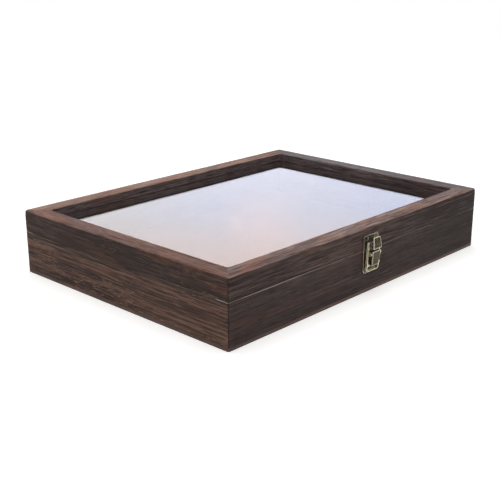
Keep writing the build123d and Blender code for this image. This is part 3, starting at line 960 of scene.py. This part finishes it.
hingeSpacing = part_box("hinge_right_pin")[0].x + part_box("hinge_right_pin")[1].x
screwPiece("hingeBaseScrews", "hinge_base_screws", "case_base", 2, hingeSpacing, 4)
screwPiece("hingeLidScrews", "hinge_lid_screws", "lid", 2, hingeSpacing, 9)
screwPiece("latchBaseScrews", "latch_base_screws", "case_base", 1, 0.0, 6)
screwPiece("latchCatchScrews", "latch_catch_screws", "lid", 1, 0.0, 11)
print("screws done")

# Foam sheet: fine closed cells, with softly worn edges
foam = {
    "edge": 1.2 * mm,
    "edgeSteps": 3,
    "step": 4.0 * mm,
    "low": (85, 71, 58),
    "high": (98, 82, 68),
    "grain": (70, 57, 46),
    "cells": 1100.0,  # per metre
    "drift": 38.0,
    "driftShows": (0.35, 0.65),
    "grains": 420.0,
    "grainShows": (0.55, 0.7),
    "grainAmount": 0.4,
    "roughness": (0.9, 1.0),
    "roughStops": (0.3, 0.7),
    "grainBump": 0.6,
    "bumpStrength": 0.2,
    "bumpDepth": 0.15 * mm,
    "specular": 0.05,
}


def foamMaterial():
    made, w = newMaterial("pinningFoam")
    place = objectPlace(w)
    cells = w.add("ShaderNodeTexVoronoi", {}, {"Vector": place, "Scale": foam["cells"]})
    drift = w.noise(place, detail=3.0, scale=foam["drift"])
    grains = w.noise(place, detail=2.0, scale=foam["grains"])
    colour = w.mix(w.rise(drift, *foam["driftShows"]), tint(foam["low"]), tint(foam["high"]))
    colour = w.paint(w.rise(grains, *foam["grainShows"]) * foam["grainAmount"], colour, foam["grain"])
    sockets = {
        "Base Color": colour,
        "Roughness": w.rise(grains, *foam["roughStops"], *foam["roughness"]),
        "Normal": w.bump(cells + grains * foam["grainBump"], foam["bumpStrength"], foam["bumpDepth"]),
        "Specular IOR Level": foam["specular"],
    }
    principled(w, sockets)
    return made


def foamMesh():
    low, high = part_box("pinning_foam")
    size = high - low
    shape = bmesh.new()
    bmesh.ops.create_cube(shape, size=1.0)
    for vert in shape.verts:
        vert.co = Vector([low[i] + size[i] * (vert.co[i] + 0.5) for i in range(3)])
    top = [e for e in shape.edges if all(v.co.z > high.z - mm for v in e.verts)]
    upright = [e for e in shape.edges if abs(e.verts[0].co.z - e.verts[1].co.z) > mm]
    rounding = {"offset": foam["edge"], "segments": foam["edgeSteps"], "profile": 0.5, "affect": "EDGES"}
    bmesh.ops.bevel(shape, geom=top + upright, **rounding)
    for axis, span in ((0, size.x), (1, size.y)):
        normal = Vector((axis == 0, axis == 1, 0))
        for index in range(1, int(span / foam["step"])):
            cut = low.copy()
            cut[axis] = low[axis] + index * foam["step"]
            geom = shape.verts[:] + shape.edges[:] + shape.faces[:]
            bmesh.ops.bisect_plane(shape, geom=geom, plane_co=cut, plane_no=normal, dist=1e-7)
    bmesh.ops.recalc_face_normals(shape, faces=shape.faces)
    mesh = bpy.data.meshes.new("pinningFoamSheet")
    shape.to_mesh(mesh)
    shape.free()
    mesh.materials.append(foamMaterial())
    return mesh


foamSheet = newPiece("pinningFoamSheet", foamMesh())
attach(foamSheet, "case_base")
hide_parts("pinning_foam")
print("foam done")

# Floor, world and lamps
studio = {
    "floorSize": 4.0,
    "floorShades": ((236, 235, 233), (240, 240, 239)),
    "floorDrift": 3.0,
    "floorRoughness": 0.8,
    "floorLift": 0.42,  # for the camera and mirrors only, so that the open floor reads white
    "liftReach": (0.3, 2.0),  # squares of the distances between which it grows to full white
    "fill": (0.3, 0.3, 0.3, 1.0),
    "white": (1.0, 1.0, 1.0, 1.0),
    "farSky": (1.72, 1.75, 2.05, 1.0),  # what the far and near ends of the pane mirror
    "nearSky": (2.24, 1.84, 1.74, 1.0),
    "skySlopes": (0.27, 0.36),
    "leftTint": (1.02, 0.98, 0.87, 1.0),  # and its left and right corners
    "rightTint": (0.9, 0.93, 0.985, 1.0),
    "tintReach": (0.02, 0.2),
    "overhead": (0.45, 0.75),  # slopes where the sky turns white above and below that band
    "horizon": (0.12, 0.02),
    "glows": {  # faint warm glows in the pane
        "broad": {"way": (0.7053, 0.6444, 0.2955), "reach": 0.055, "colour": (0.22, 0.07, 0.0, 1.0)},
        "spot": {"way": (0.6878, 0.6635, 0.2945), "reach": 0.011, "colour": (0.14, 0.12, 0.1, 1.0)},
    },
    "skyTurn": radians(43),
}


def floorMaterial():
    made, w = newMaterial("paleFloor")
    place = objectPlace(w)
    x, y = w.parts(place)[:2]
    low, high = [tint(shade) for shade in studio["floorShades"]]
    colour = w.mix(w.noise(place, detail=2.0, scale=studio["floorDrift"]), low, high)
    sockets = {"Base Color": colour, "Roughness": studio["floorRoughness"]}
    matt = w.add("ShaderNodeBsdfPrincipled", {}, sockets)
    path = w.add("ShaderNodeLightPath", output="Is Camera Ray")
    seen = path.larger(path.output("Is Glossy Ray"))
    far = w.rise(x * x + y * y, *studio["liftReach"], studio["floorLift"], 1.0)
    lift = w.add("ShaderNodeEmission", {}, {"Strength": seen * far})
    surface(w, w.add("ShaderNodeAddShader", {}, {0: matt, 1: lift}))
    return made


def floorPiece():
    half = studio["floorSize"] / 2
    corners = [(-half, -half, 0), (half, -half, 0), (half, half, 0), (-half, half, 0)]
    mesh = bpy.data.meshes.new("floor")
    mesh.from_pydata(corners, [], [(0, 1, 2, 3)])
    mesh.materials.append(floorMaterial())
    newPiece("floor", mesh)


def mirroredSky(w):
    # what the pane mirrors: a slope of tones from far to near, with tinted corners and the glows
    way = w.add("ShaderNodeTexCoord", output="Generated")
    east, north, slope = w.parts(way)
    across = north * cos(studio["skyTurn"]) - east * sin(studio["skyTurn"])
    near, far = studio["tintReach"]
    sky = w.mix(w.rise(slope, *studio["skySlopes"]), studio["farSky"], studio["nearSky"])
    sky = w.mix(w.rise(across, near, far), sky, studio["leftTint"], "MULTIPLY")
    sky = w.mix(w.rise(across, -near, -far), sky, studio["rightTint"], "MULTIPLY")
    for glow in studio["glows"].values():
        away = w.vector("DISTANCE", way, glow["way"], "Value")
        sky = w.mix(w.rise(away, glow["reach"], 0.0), sky, glow["colour"], "ADD")
    sky = w.mix(w.rise(slope, *studio["overhead"]), sky, studio["white"])
    return w.mix(w.rise(slope, *studio["horizon"]), sky, studio["white"])


def studioWorld():
    world = bpy.data.worlds.new("studio")
    scene.world = world
    world.use_nodes = True
    world.node_tree.nodes.clear()
    w = Wiring(world.node_tree)
    seen = w.add("ShaderNodeLightPath", output="Is Camera Ray")
    bounced = seen.output("Is Glossy Ray").larger(seen.output("Is Transmission Ray"))
    mirrored = seen.output("Is Singular Ray") * bounced * (1 - seen)
    colour = w.mix(seen.larger(bounced), studio["fill"], studio["white"])
    colour = w.mix(mirrored, colour, mirroredSky(w))
    background = w.add("ShaderNodeBackground", {}, {"Color": colour, "Strength": 1.0})
    w.add("ShaderNodeOutputWorld", {}, {"Surface": background})


lamps = {
    "keyLeft": {"place": (-2.2, -0.9, 1.5), "size": 1.4, "watts": 22.0, "colour": (1.0, 0.985, 0.965)},
    "overhead": {"place": (0.1, 0.3, 2.4), "size": 2.0, "watts": 34.0, "colour": (1.0, 0.99, 0.98)},
    "fillRight": {"place": (1.4, -2.2, 1.2), "size": 1.6, "watts": 3.0, "colour": (0.98, 0.985, 1.0)},
}
lampAim = (0, 0, 30 * mm)
view = {
    "place": (-0.6244, -0.5739, 0.2944),
    "aim": (-0.0534, -0.0378, 0.0297),
    "lens": 66.67,
    "sensor": 36.0,
    "nearest": 10 * mm,
}


def aimAt(thing, place, goal):
    thing.location = place
    thing.rotation_euler = (Vector(goal) - Vector(place)).to_track_quat("-Z", "Y").to_euler()


floorPiece()
studioWorld()
for name, lamp in lamps.items():
    data = bpy.data.lights.new(name, "AREA")
    data.size = lamp["size"]
    data.energy = lamp["watts"]
    data.color = lamp["colour"]
    light = newPiece(name, data)
    aimAt(light, lamp["place"], lampAim)
    light.visible_glossy = False
    light.visible_transmission = False
cameraData = bpy.data.cameras.new("photograph")
cameraData.lens = view["lens"]
cameraData.sensor_width = view["sensor"]
cameraData.clip_start = view["nearest"]
camera = newPiece("photograph", cameraData)
aimAt(camera, view["place"], view["aim"])
scene.camera = camera
scene.view_settings.view_transform = "Standard"
print("studio done")
